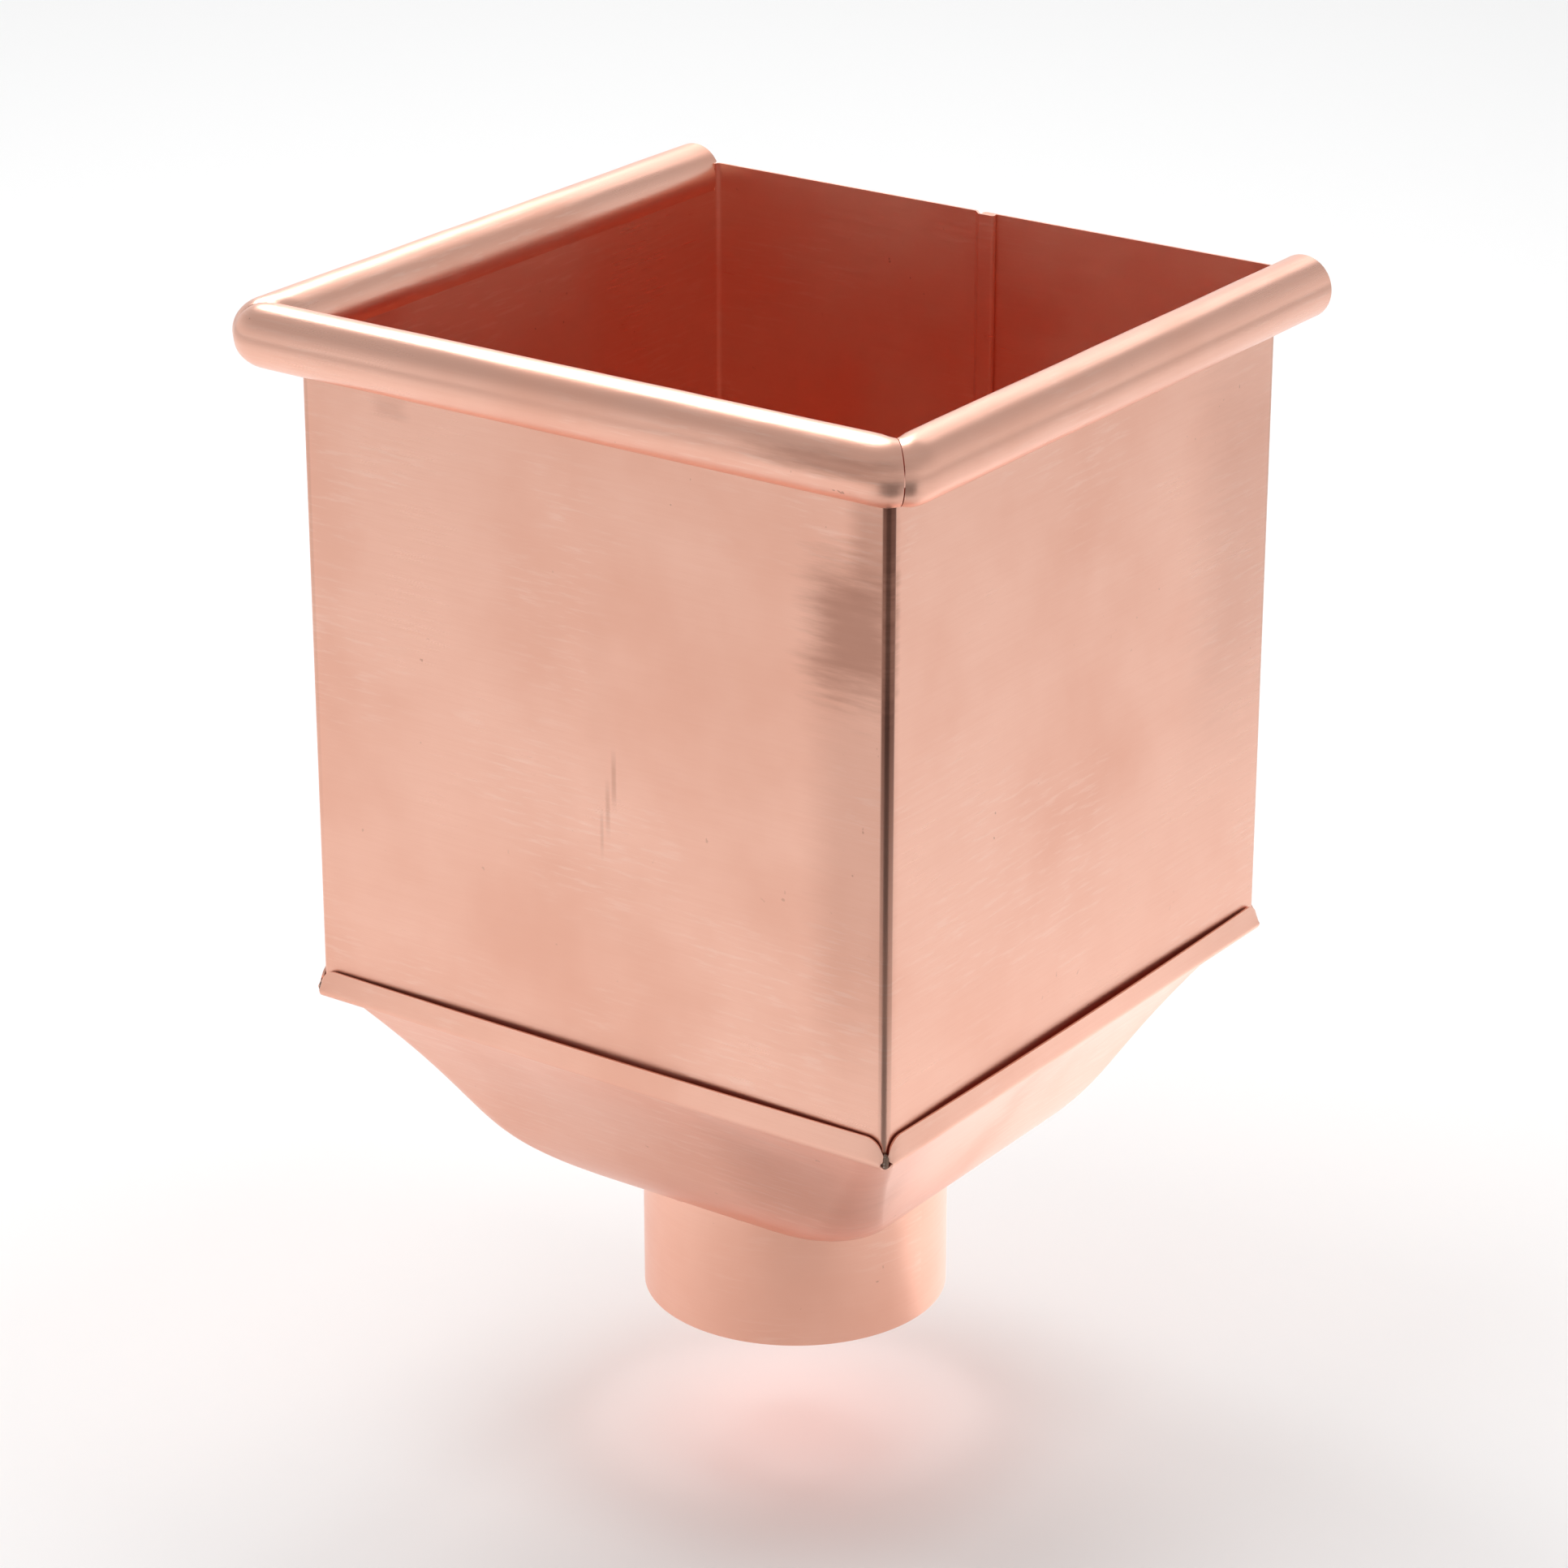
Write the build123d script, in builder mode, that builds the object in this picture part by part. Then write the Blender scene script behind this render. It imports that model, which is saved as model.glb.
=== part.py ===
from build123d import *
import math
import os

os.makedirs("parts", exist_ok=True)

# Sheet and overall sizes, millimetres
sheet = 0.7
box_width = 216.0
wall_height = 224.5
ledge_height = 114.0
corner_bend = 1.6

# Rolled bead on the front, left and right edges
bead_radius = 10.2
bead_drop = 5.0
bead_crease = 2.0
bead_lead_angle = 20.0
bead_turn_angle = 325.0
mitre_slit = 0.4

# Lock seam in the middle of the back wall
seam_width = 8.0
seam_joggle = 2.4
seam_clearance = 0.12
joggle_bend = 1.0

# Ledge and upright lips round the foot of the walls
ledge_width = 2.2
lip_height = 9.5
lip_clearance = 1.8
lip_bend = 1.5
lip_corner = 6.0

# Pressed funnel, square at the ledge and nearly round at the pipe
mouth_angle = 52.0
mouth_pull_share = 0.63
throat_angle = 27.0
throat_pull_share = 0.48
throat_inset = 6.0
throat_height = 41.8
hip_top = 9.0
hip_end_share = 0.9
hip_growth = 2.3
funnel_steps = 9

# Outlet pipe and its joint
pipe_radius = 50.0
neck_step = 0.8
joint_clearance = 0.1
solder_reach = 3.0
solder_thickness = 0.6
solder_drop = 4.5
solder_sink = 1.5

# Values that follow from the sizes above
half = box_width / 2
mid = half - sheet / 2
ledge_top = ledge_height + sheet
back_edge = ledge_top + wall_height
bend_mid = corner_bend + sheet / 2
bend_outer = corner_bend + sheet

bead_mid = bead_radius - sheet / 2
lead_rise = math.sin(math.radians(bead_lead_angle))
lead_run = math.cos(math.radians(bead_lead_angle))
bead_axis = back_edge - bead_drop
crease_level = bead_axis - (bead_crease + bead_mid) * lead_rise
bead_out = -sheet / 2 - bead_crease * (1 - lead_run) + bead_mid * lead_run
bead_reach = half + bead_out + bead_radius

pitch = sheet + seam_clearance
fold = 0.75 * pitch
level = [mid - step * pitch for step in range(4)]
seam_left = -seam_width / 2
seam_right = seam_width / 2
joggle_end = seam_left + seam_joggle
hook_left = joggle_end + sheet + seam_clearance

lip_mid = half + lip_clearance + sheet / 2
lip_outer = lip_mid + sheet / 2
lip_flat = lip_mid - lip_bend - sheet / 2
lip_top = ledge_height + lip_height
ledge_mid = ledge_height + sheet / 2

mouth_half = half - ledge_width
throat_half = pipe_radius - throat_inset
hip_end = hip_end_share * throat_half
side_length = math.hypot(mouth_half - throat_half, ledge_height - throat_height)
mouth_pull = mouth_pull_share * side_length
throat_pull = throat_pull_share * side_length
mouth_rise = math.sin(math.radians(mouth_angle))
mouth_run = math.cos(math.radians(mouth_angle))
throat_rise = math.sin(math.radians(throat_angle))
throat_run = math.cos(math.radians(throat_angle))
void_mouth = mouth_half - sheet * math.tan(math.radians(mouth_angle / 2))

neck_radius = pipe_radius - neck_step
neck_level = throat_height - neck_step
hole_radius = neck_radius + joint_clearance

# Side line of the funnel's underside: x is the half width, y the height
with BuildLine() as funnel_side:
    side = Bezier(
        (mouth_half, ledge_height),
        (mouth_half - mouth_pull * mouth_run, ledge_height - mouth_pull * mouth_rise),
        (throat_half + throat_pull * throat_run, throat_height + throat_pull * throat_rise),
        (throat_half, throat_height),
    )


def hip_radius(half_width):
    """Corner radius of the funnel where it is this wide; it grows towards the pipe."""
    share = (mouth_half - half_width) / (mouth_half - throat_half)
    return hip_top + (hip_end - hip_top) * max(share, 0.0) ** hip_growth


# Funnel form up to its underside
with BuildPart() as bowl_blank:
    for step in range(funnel_steps + 1):
        point = side @ (step / funnel_steps)
        with BuildSketch(Plane.XY.offset(point.Y)):
            RectangleRounded(2 * point.X, 2 * point.X, hip_radius(point.X))
    loft()

# Room inside the funnel, one sheet thickness in from the underside
with BuildPart() as bowl_void:
    with BuildSketch(Plane.XY.offset(ledge_top)):
        RectangleRounded(2 * void_mouth, 2 * void_mouth, hip_top + void_mouth - mouth_half)
    for step in range(1, funnel_steps + 1):
        point = side @ (step / funnel_steps)
        slope = side % (step / funnel_steps)
        inset = -slope.Y * sheet
        width = point.X - inset
        with BuildSketch(Plane.XY.offset(point.Y - slope.X * sheet)):
            RectangleRounded(2 * width, 2 * width, hip_radius(point.X) - inset)
    loft()

# One upright lip on the +X side, with rounded upper ends
with BuildPart() as side_lip:
    with BuildSketch(Plane.XZ):
        with BuildLine():
            FilletPolyline(
                (half - ledge_width / 2, ledge_mid),
                (lip_mid, ledge_mid),
                (lip_mid, lip_top),
                radius=lip_bend + sheet / 2,
            )
        trace(line_width=sheet)
    extrude(amount=lip_flat, both=True)
    fillet(side_lip.edges().filter_by(Axis.X).group_by(Axis.Z)[-1], radius=lip_corner)

# Funnel bottom: bowl, ledge and four lips of one sheet, with the hole for the pipe
with BuildPart() as funnel_bottom:
    add(bowl_blank.part)
    with BuildSketch(Plane.XY.offset(ledge_height)):
        Rectangle(2 * lip_flat, 2 * lip_flat)
    extrude(amount=sheet)
    with PolarLocations(0, 4):
        add(side_lip.part)
    add(bowl_void.part, mode=Mode.SUBTRACT)
    with BuildSketch(Plane.XY):
        Circle(hole_radius)
    extrude(amount=ledge_height, mode=Mode.SUBTRACT)
funnel_bottom.part.label = "funnel bottom"
export_step(funnel_bottom.part, "parts/funnel_bottom.step")

# Rolled bead along the front edge, mitred at both ends
with BuildPart() as front_roll:
    with BuildSketch(Plane(origin=(0, -half, 0), x_dir=(0, -1, 0), z_dir=(-1, 0, 0))):
        with BuildLine():
            lead = JernArc((-sheet / 2, crease_level), (0, 1), bead_crease, bead_lead_angle)
            JernArc(lead @ 1, lead % 1, bead_mid, -bead_turn_angle)
        trace(line_width=sheet)
    extrude(amount=bead_reach, both=True)
    split(bisect_by=Plane((0, 0, 0), z_dir=(1, 1, 0)).offset(-mitre_slit / 2), keep=Keep.BOTTOM)
    split(bisect_by=Plane((0, 0, 0), z_dir=(-1, 1, 0)).offset(-mitre_slit / 2), keep=Keep.BOTTOM)

# Rolled bead along the right edge, mitred at the front, cut square and clear of the bend at the back
with BuildPart() as side_roll:
    with BuildSketch(Plane(origin=(half, half, 0), x_dir=(1, 0, 0), z_dir=(0, -1, 0))):
        with BuildLine():
            lead = JernArc((-sheet / 2, crease_level), (0, 1), bead_crease, bead_lead_angle)
            JernArc(lead @ 1, lead % 1, bead_mid, -bead_turn_angle)
        trace(line_width=sheet)
    extrude(amount=half + bead_reach)
    split(bisect_by=Plane((0, 0, 0), z_dir=(1, 1, 0)).offset(mitre_slit / 2), keep=Keep.TOP)
    with BuildSketch(Plane.XY.offset(crease_level)):
        with Locations((half - bend_outer, half)):
            Rectangle(2 * (bend_outer + mitre_slit), 2 * (bend_outer + mitre_slit))
    extrude(amount=wall_height, mode=Mode.SUBTRACT)

# Box body: one bent sheet closed by the lock seam, with the rolled bead on three edges
with BuildPart() as box_body:
    with BuildSketch(Plane.XY.offset(ledge_top)):
        with BuildLine():
            FilletPolyline(
                (hook_left + sheet / 2 + seam_clearance, level[1]),
                (seam_right - sheet / 2, level[1]),
                (seam_right - sheet / 2, level[3]),
                (joggle_end, level[3]),
                (seam_left, level[0]),
                (-mid, mid),
                (-mid, -mid),
                (mid, -mid),
                (mid, mid),
                (hook_left, level[0]),
                (hook_left, level[2]),
                (seam_right - sheet - seam_clearance, level[2]),
                radius=[fold, fold, joggle_bend, joggle_bend] + [bend_mid] * 4 + [fold, fold],
            )
        trace(line_width=sheet)
    extrude(amount=wall_height)
    with BuildSketch(Plane.XY.offset(crease_level)):
        with Locations((0, -half)):
            Rectangle(box_width, 2 * bend_outer)
        with Locations((-half, -bend_outer), (half, -bend_outer)):
            Rectangle(2 * bend_outer, box_width)
    extrude(amount=wall_height, mode=Mode.SUBTRACT)
    add(front_roll.part)
    add(side_roll.part)
    add(mirror(side_roll.part, about=Plane.YZ, mode=Mode.PRIVATE))
box_body.part.label = "box body"
export_step(box_body.part, "parts/box_body.step")

# Outlet pipe, necked into the funnel's hole and trimmed flush inside
with BuildPart() as outlet_pipe:
    with BuildSketch(Plane.XZ):
        with BuildLine():
            Polyline(
                (pipe_radius - sheet, 0),
                (pipe_radius, 0),
                (pipe_radius, neck_level),
                (neck_radius, throat_height),
                (neck_radius, ledge_height),
                (neck_radius - sheet, ledge_height),
                (neck_radius - sheet, throat_height),
                (pipe_radius - sheet, neck_level),
                close=True,
            )
        make_face()
    revolve(axis=Axis.Z)
    add(bowl_void.part, mode=Mode.SUBTRACT)
outlet_pipe.part.label = "outlet pipe"
export_step(outlet_pipe.part, "parts/outlet_pipe.step")

# Solder ring over the pipe's joint, laid on the inside of the funnel
with BuildPart() as outlet_solder:
    with BuildSketch(Plane.XY.offset(throat_height)):
        Circle(hole_radius + solder_reach)
        Circle(neck_radius - sheet, mode=Mode.SUBTRACT)
    extrude(amount=ledge_height - throat_height)
    add(bowl_void.part, mode=Mode.INTERSECT)
    with Locations((0, 0, solder_thickness)):
        add(bowl_void.part, mode=Mode.SUBTRACT)
outlet_solder.part.label = "outlet solder"
export_step(outlet_solder.part, "parts/outlet_solder.step")

# Solder drop in each slot between two lips, outside the walls' corner
corners = {"front_right": (1, -1), "front_left": (-1, -1), "back_left": (-1, 1), "back_right": (1, 1)}
for corner, (across, along) in corners.items():
    with BuildPart() as corner_solder:
        with Locations((across * half, along * half, ledge_top - solder_sink)):
            Sphere(solder_drop)
        with BuildSketch(Plane.XY.offset(ledge_height)):
            Rectangle(2 * lip_outer, 2 * lip_outer)
        extrude(amount=lip_height, mode=Mode.INTERSECT)
        with BuildSketch(Plane.XY.offset(ledge_height)):
            RectangleRounded(box_width, box_width, bend_outer)
        extrude(amount=lip_height, mode=Mode.SUBTRACT)
        add(funnel_bottom.part, mode=Mode.SUBTRACT)
    corner_solder.part.label = corner.replace("_", " ") + " solder"
    export_step(corner_solder.part, f"parts/{corner}_solder.step")
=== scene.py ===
# %% [markdown]
# A copper collector box stands at the top of a downspout. Its walls are one bent sheet, its top edge is
# rolled into a bead on the front and both sides, and a pressed funnel leads the water into a round pipe.
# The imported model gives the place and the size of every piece. This lesson dresses it: each sheet is drawn
# again as a fine smooth mesh, because polished metal shows every facet, and gets a finish made of nodes.

# %% Load the frame
import math

import bmesh
import bpy
from mathutils import Matrix, Vector
from mathutils import noise as hills


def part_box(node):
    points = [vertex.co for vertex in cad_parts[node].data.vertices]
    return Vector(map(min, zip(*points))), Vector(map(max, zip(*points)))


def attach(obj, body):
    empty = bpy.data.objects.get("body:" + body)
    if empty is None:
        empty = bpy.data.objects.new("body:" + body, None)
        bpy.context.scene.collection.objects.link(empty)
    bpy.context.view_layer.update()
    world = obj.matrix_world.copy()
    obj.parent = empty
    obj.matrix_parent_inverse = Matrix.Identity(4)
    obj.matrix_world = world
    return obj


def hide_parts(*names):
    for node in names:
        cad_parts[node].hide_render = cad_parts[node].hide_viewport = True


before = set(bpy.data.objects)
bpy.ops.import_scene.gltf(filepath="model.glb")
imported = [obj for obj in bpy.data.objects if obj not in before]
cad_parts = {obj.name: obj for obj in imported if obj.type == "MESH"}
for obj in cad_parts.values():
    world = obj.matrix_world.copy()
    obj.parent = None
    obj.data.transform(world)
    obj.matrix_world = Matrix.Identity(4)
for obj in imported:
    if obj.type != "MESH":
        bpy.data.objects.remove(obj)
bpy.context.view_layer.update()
print("CAD nodes:", ", ".join(sorted(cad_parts)))

# %% [markdown]
# The sizes come from the boxes of the CAD nodes where a box shows them. The others, such as the thickness of
# the sheet and the radii of its bends, are the same named values as in the part's source, here in metres.

# %% Sizes of the sheets
body_low, body_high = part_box("box_body")
funnel_low, funnel_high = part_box("funnel_bottom")
pipe_low, pipe_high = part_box("outlet_pipe")

sheet = 0.0007
half = body_high[1]
wall_mid = half - sheet / 2
ledge_top = body_low[2]
ledge_mid = ledge_top - sheet / 2
bend_mid = 0.00195
bend_outer = 0.0023

bead_radius = 0.0102
bead_mid = bead_radius - sheet / 2
bead_drop = 0.005
bead_crease = 0.002
bead_lead = math.radians(20)
bead_turn = math.radians(325)
mitre_slit = 0.0004
bead_axis_z = body_high[2] - bead_radius
bead_axis_out = body_high[0] - half - bead_radius
back_edge = bead_axis_z + bead_drop
crease_z = bead_axis_z - (bead_crease + bead_mid) * math.sin(bead_lead)

pipe_radius = pipe_high[0]
print(f"box {2 * half * 1000:.0f} mm wide, walls from {ledge_top * 1000:.1f} to {back_edge * 1000:.1f} mm")

# %% [markdown]
# Every sheet starts as a grid of points: rows up the sheet, columns along it. A grid also knows how far each
# point is along and up the flat sheet before it was bent, so that distance becomes a UV map in metres. The
# roll marks of the metal can then follow every bend. Solidify gives the sheet its thickness, and the result
# is stored as a plain mesh with smooth faces and sharp cut edges.

# %% Helpers for sheet metal
SHEET_MAP = "sheet"


def grid_mesh(name, rows, flat_rows, closed=False, keep=None):
    """Mesh of a grid of points, with the flat sheet's distances as its UV map."""
    row_count, column_count = len(rows), len(rows[0])
    points = [point for row in rows for point in row]
    faces, corners = [], []
    for r in range(row_count - 1):
        for c in range(column_count - (0 if closed else 1)):
            if keep and not keep(r, c):
                continue
            n = (c + 1) % column_count
            faces.append((r * column_count + c, r * column_count + n,
                          (r + 1) * column_count + n, (r + 1) * column_count + c))
            wrap = flat_rows[r][-1] if closed and n == 0 else flat_rows[r][n]
            wrap_up = flat_rows[r + 1][-1] if closed and n == 0 else flat_rows[r + 1][n]
            corners += [flat_rows[r][c], wrap, wrap_up, flat_rows[r + 1][c]]
    mesh = bpy.data.meshes.new(name)
    mesh.from_pydata(points, [], faces)
    layer = mesh.uv_layers.new(name=SHEET_MAP)
    for corner, place in zip(layer.data, corners):
        corner.uv = place
    return mesh


def plain_mesh(obj):
    """The object's mesh with its modifiers worked in."""
    bpy.context.view_layer.update()
    evaluated = obj.evaluated_get(bpy.context.evaluated_depsgraph_get())
    return bpy.data.meshes.new_from_object(evaluated)


def new_piece(name, mesh):
    piece = bpy.data.objects.new(name, mesh)
    bpy.context.scene.collection.objects.link(piece)
    return piece


def joined(name, meshes, merge=0.0):
    """One piece from several meshes; points nearer than the merge distance become one."""
    work = bmesh.new()
    for mesh in meshes:
        work.from_mesh(mesh)
    if merge:
        bmesh.ops.remove_doubles(work, verts=work.verts, dist=merge)
    bmesh.ops.recalc_face_normals(work, faces=work.faces)
    result = bpy.data.meshes.new(name)
    work.to_mesh(result)
    work.free()
    return new_piece(name, result)


def thicken(piece, crease_angle=38):
    """Gives a sheet its thickness about its middle, then smooth faces with sharp cut edges."""
    solid = piece.modifiers.new("sheet thickness", "SOLIDIFY")
    solid.thickness = sheet
    solid.offset = 0.0
    solid.use_even_offset = True
    mesh = plain_mesh(piece)
    piece.modifiers.clear()
    piece.data = mesh
    for polygon in mesh.polygons:
        polygon.use_smooth = True
    mesh.set_sharp_from_angle(angle=math.radians(crease_angle))
    return piece


def dress(piece, nodes, material):
    piece.data.materials.clear()
    piece.data.materials.append(material)
    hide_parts(*nodes)
    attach(piece, "root")
    print(f"{piece.name}: {len(piece.data.polygons)} faces")


# %% [markdown]
# The finish is mill copper: a salmon metal with fine roll marks along the sheet, soft cloudy stains where
# hands and the press touched it, and small nicks. Two node groups hold these effects, and a third draws soft
# patches, most of them painted reflections; the walls, the funnel and the pipe share the groups with values of their
# own. The groups only give masks and heights, and the metal itself stays in each material.

# %% Node helpers
def calc(tree, operation, *values):
    """A math node whose inputs are numbers or sockets."""
    node = tree.nodes.new("ShaderNodeMath")
    node.operation = operation
    for socket, value in zip(node.inputs, values):
        if isinstance(value, bpy.types.NodeSocket):
            tree.links.new(value, socket)
        else:
            socket.default_value = value
    return node.outputs[0]


def new_group(name, inputs, outputs):
    """An empty shader group with named float or vector inputs and float outputs."""
    group = bpy.data.node_groups.new(name, "ShaderNodeTree")
    for label, kind, value in inputs:
        socket = group.interface.new_socket(label, in_out="INPUT", socket_type=kind)
        if value is not None:
            socket.default_value = value
    for label in outputs:
        group.interface.new_socket(label, in_out="OUTPUT", socket_type="NodeSocketFloat")
    source = group.nodes.new("NodeGroupInput")
    target = group.nodes.new("NodeGroupOutput")
    return group, source, target


def noise(tree, vector, scale, detail=3.0, roughness=0.5):
    node = tree.nodes.new("ShaderNodeTexNoise")
    node.inputs["Scale"].default_value = scale
    node.inputs["Detail"].default_value = detail
    node.inputs["Roughness"].default_value = roughness
    tree.links.new(vector, node.inputs["Vector"])
    return node.outputs["Fac"]


def stretched(tree, vector, scale, turn=0.0):
    """The vector turned and scaled, for marks that are longer than wide."""
    node = tree.nodes.new("ShaderNodeMapping")
    node.inputs["Scale"].default_value = scale
    node.inputs["Rotation"].default_value = (0.0, 0.0, turn)
    tree.links.new(vector, node.inputs["Vector"])
    return node.outputs["Vector"]


def span(tree, value, low, high):
    """Maps low to 0 and high to 1, with a soft start and end."""
    node = tree.nodes.new("ShaderNodeMapRange")
    node.interpolation_type = "SMOOTHSTEP"
    node.inputs["From Min"].default_value = low
    node.inputs["From Max"].default_value = high
    tree.links.new(value, node.inputs["Value"])
    return node.outputs["Result"]


# %% Roll marks group
def make_roll_marks():
    """Fine lines along the sheet, from its UV map in metres."""
    group, source, target = new_group(
        "roll marks", [("Sheet", "NodeSocketVector", None)], ["Lines", "Scuffs"])
    place = source.outputs["Sheet"]
    fine = noise(group, stretched(group, place, (60.0, 4200.0, 1.0), 0.02), 1.0, 2.0)
    broad = noise(group, stretched(group, place, (14.0, 900.0, 1.0), 0.012), 1.0, 3.0)
    lines = calc(group, "ADD", calc(group, "MULTIPLY", fine, 0.55), calc(group, "MULTIPLY", broad, 0.45))
    slant = noise(group, stretched(group, place, (70.0, 620.0, 1.0), 0.1), 1.0, 3.0, 0.6)
    where = noise(group, stretched(group, place, (11.0, 14.0, 1.0)), 1.0, 2.0)
    scuffs = calc(group, "MULTIPLY", span(group, slant, 0.50, 0.68), span(group, where, 0.44, 0.60))
    group.links.new(lines, target.inputs["Lines"])
    group.links.new(scuffs, target.inputs["Scuffs"])
    return group


# %% Stains group
def make_stains():
    """Soft clouds and small dark flecks, from the place on the object."""
    group, source, target = new_group(
        "stains", [("Place", "NodeSocketVector", None)], ["Clouds", "Flecks"])
    place = source.outputs["Place"]
    clouds = noise(group, place, 13.0, 4.0, 0.55)
    cells = noise(group, place, 330.0, 2.0, 0.5)
    where = noise(group, place, 21.0, 2.0, 0.5)
    flecks = calc(group, "MULTIPLY", span(group, cells, 0.73, 0.79), span(group, where, 0.54, 0.64))
    group.links.new(span(group, clouds, 0.34, 0.70), target.inputs["Clouds"])
    group.links.new(flecks, target.inputs["Flecks"])
    return group


# %% Patch group
# Most patches laid with this group are painted reflections; the others are a scuff and a small mark.
def make_patch():
    """One soft patch with square shoulders: its centre, how far it reaches each way, and its edge's noise."""
    group, source, target = new_group("patch", [
        ("Place", "NodeSocketVector", None), ("Centre", "NodeSocketVector", None),
        ("Reach", "NodeSocketVector", None), ("Edge", "NodeSocketFloat", 0.0),
        ("Ragged", "NodeSocketFloat", 0.5)], ["Patch"])
    offset = group.nodes.new("ShaderNodeVectorMath")
    offset.operation = "SUBTRACT"
    group.links.new(source.outputs["Place"], offset.inputs[0])
    group.links.new(source.outputs["Centre"], offset.inputs[1])
    share = group.nodes.new("ShaderNodeVectorMath")
    share.operation = "DIVIDE"
    group.links.new(offset.outputs["Vector"], share.inputs[0])
    group.links.new(source.outputs["Reach"], share.inputs[1])
    square = group.nodes.new("ShaderNodeVectorMath")
    square.operation = "MULTIPLY"
    group.links.new(share.outputs["Vector"], square.inputs[0])
    group.links.new(share.outputs["Vector"], square.inputs[1])
    length = group.nodes.new("ShaderNodeVectorMath")
    length.operation = "LENGTH"
    group.links.new(square.outputs["Vector"], length.inputs[0])
    away = calc(group, "SQRT", length.outputs["Value"])
    ragged = calc(group, "MULTIPLY_ADD", source.outputs["Edge"], source.outputs["Ragged"], away)
    group.links.new(span(group, ragged, 1.0, 0.2), target.inputs["Patch"])
    return group


roll_marks = make_roll_marks()
stains = make_stains()
patch = make_patch()
print("groups:", roll_marks.name, stains.name, patch.name)


# %% Copper material
def mix_colour(tree, factor, first, second):
    node = tree.nodes.new("ShaderNodeMix")
    node.data_type = "RGBA"
    tree.links.new(factor, node.inputs["Factor"])
    for socket, value in ((node.inputs[6], first), (node.inputs[7], second)):
        if isinstance(value, bpy.types.NodeSocket):
            tree.links.new(value, socket)
        else:
            socket.default_value = value
    return node.outputs[2]


BRIGHT_COPPER = (0.97, 0.64, 0.53, 1.0)
DENT_SCALE = 170.0


def make_copper(name, clean, stained, dark, rough_low, rough_high, line_depth, dent_depth):
    material = bpy.data.materials.new(name)
    material.use_nodes = True
    tree = material.node_tree
    metal = tree.nodes["Principled BSDF"]
    metal.inputs["Metallic"].default_value = 1.0
    flat = tree.nodes.new("ShaderNodeUVMap")
    flat.uv_map = SHEET_MAP
    place = tree.nodes.new("ShaderNodeTexCoord")
    marks = tree.nodes.new("ShaderNodeGroup")
    marks.node_tree = roll_marks
    tree.links.new(flat.outputs["UV"], marks.inputs["Sheet"])
    spots = tree.nodes.new("ShaderNodeGroup")
    spots.node_tree = stains
    tree.links.new(place.outputs["Object"], spots.inputs["Place"])
    colour = mix_colour(tree, spots.outputs["Clouds"], clean, stained)
    line_tone = calc(tree, "MULTIPLY", span(tree, marks.outputs["Lines"], 0.40, 0.66), 0.35)
    colour = mix_colour(tree, line_tone, colour, stained)
    colour = mix_colour(tree, calc(tree, "MULTIPLY", marks.outputs["Scuffs"], 0.42), colour, BRIGHT_COPPER)
    colour = mix_colour(tree, calc(tree, "MULTIPLY", spots.outputs["Flecks"], 0.4), colour, dark)
    tree.links.new(colour, metal.inputs["Base Color"])
    grain = calc(tree, "ADD", calc(tree, "MULTIPLY", marks.outputs["Lines"], 0.6),
                 calc(tree, "MULTIPLY", spots.outputs["Clouds"], 0.4))
    rough = tree.nodes.new("ShaderNodeMapRange")
    rough.inputs["From Min"].default_value = 0.2
    rough.inputs["From Max"].default_value = 0.8
    rough.inputs["To Min"].default_value = rough_low
    rough.inputs["To Max"].default_value = rough_high
    tree.links.new(grain, rough.inputs["Value"])
    tree.links.new(rough.outputs["Result"], metal.inputs["Roughness"])
    dents = noise(tree, place.outputs["Object"], DENT_SCALE, 2.0)
    height = calc(tree, "ADD", marks.outputs["Lines"], calc(tree, "MULTIPLY", marks.outputs["Scuffs"], 0.8))
    height = calc(tree, "MULTIPLY_ADD", dents, dent_depth, height)
    bump = tree.nodes.new("ShaderNodeBump")
    bump.inputs["Strength"].default_value = 0.5
    bump.inputs["Distance"].default_value = line_depth
    tree.links.new(height, bump.inputs["Height"])
    tree.links.new(bump.outputs["Normal"], metal.inputs["Normal"])
    return material


def tint(material, mask, colour, strength):
    """Lays a colour over the material's base colour where the mask is."""
    tree = material.node_tree
    socket = tree.nodes["Principled BSDF"].inputs["Base Color"]
    under = socket.links[0].from_socket
    tree.links.new(mix_colour(tree, calc(tree, "MULTIPLY", mask, strength), under, colour), socket)


def add_patches(material, patches):
    """Lays soft patches over the material: centre, reach, colour, strength and raggedness of each."""
    tree = material.node_tree
    place = tree.nodes.new("ShaderNodeTexCoord").outputs["Object"]
    streaks = noise(tree, stretched(tree, place, (45.0, 45.0, 380.0)), 1.0, 4.0, 0.6)
    edge = calc(tree, "SUBTRACT", streaks, 0.5)
    for centre, reach, colour, strength, ragged in patches:
        node = tree.nodes.new("ShaderNodeGroup")
        node.node_tree = patch
        tree.links.new(place, node.inputs["Place"])
        tree.links.new(edge, node.inputs["Edge"])
        node.inputs["Centre"].default_value = centre
        node.inputs["Reach"].default_value = reach
        node.inputs["Ragged"].default_value = ragged
        tint(material, node.outputs["Patch"], colour, strength)


CLEAN_COPPER = (0.94, 0.545, 0.425, 1.0)
WORN_COPPER = (0.89, 0.48, 0.36, 1.0)
DARK_COPPER = (0.20, 0.075, 0.05, 1.0)
wall_copper = make_copper("wall_copper", CLEAN_COPPER, WORN_COPPER, DARK_COPPER, 0.26, 0.44, 0.00002, 3.0)
funnel_copper = make_copper("funnel_copper", CLEAN_COPPER, WORN_COPPER, DARK_COPPER, 0.28, 0.44, 0.00001, 2.0)
pipe_copper = make_copper("pipe_copper", CLEAN_COPPER, WORN_COPPER, DARK_COPPER, 0.28, 0.42, 0.00001, 2.0)
print("copper finishes made")


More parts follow.
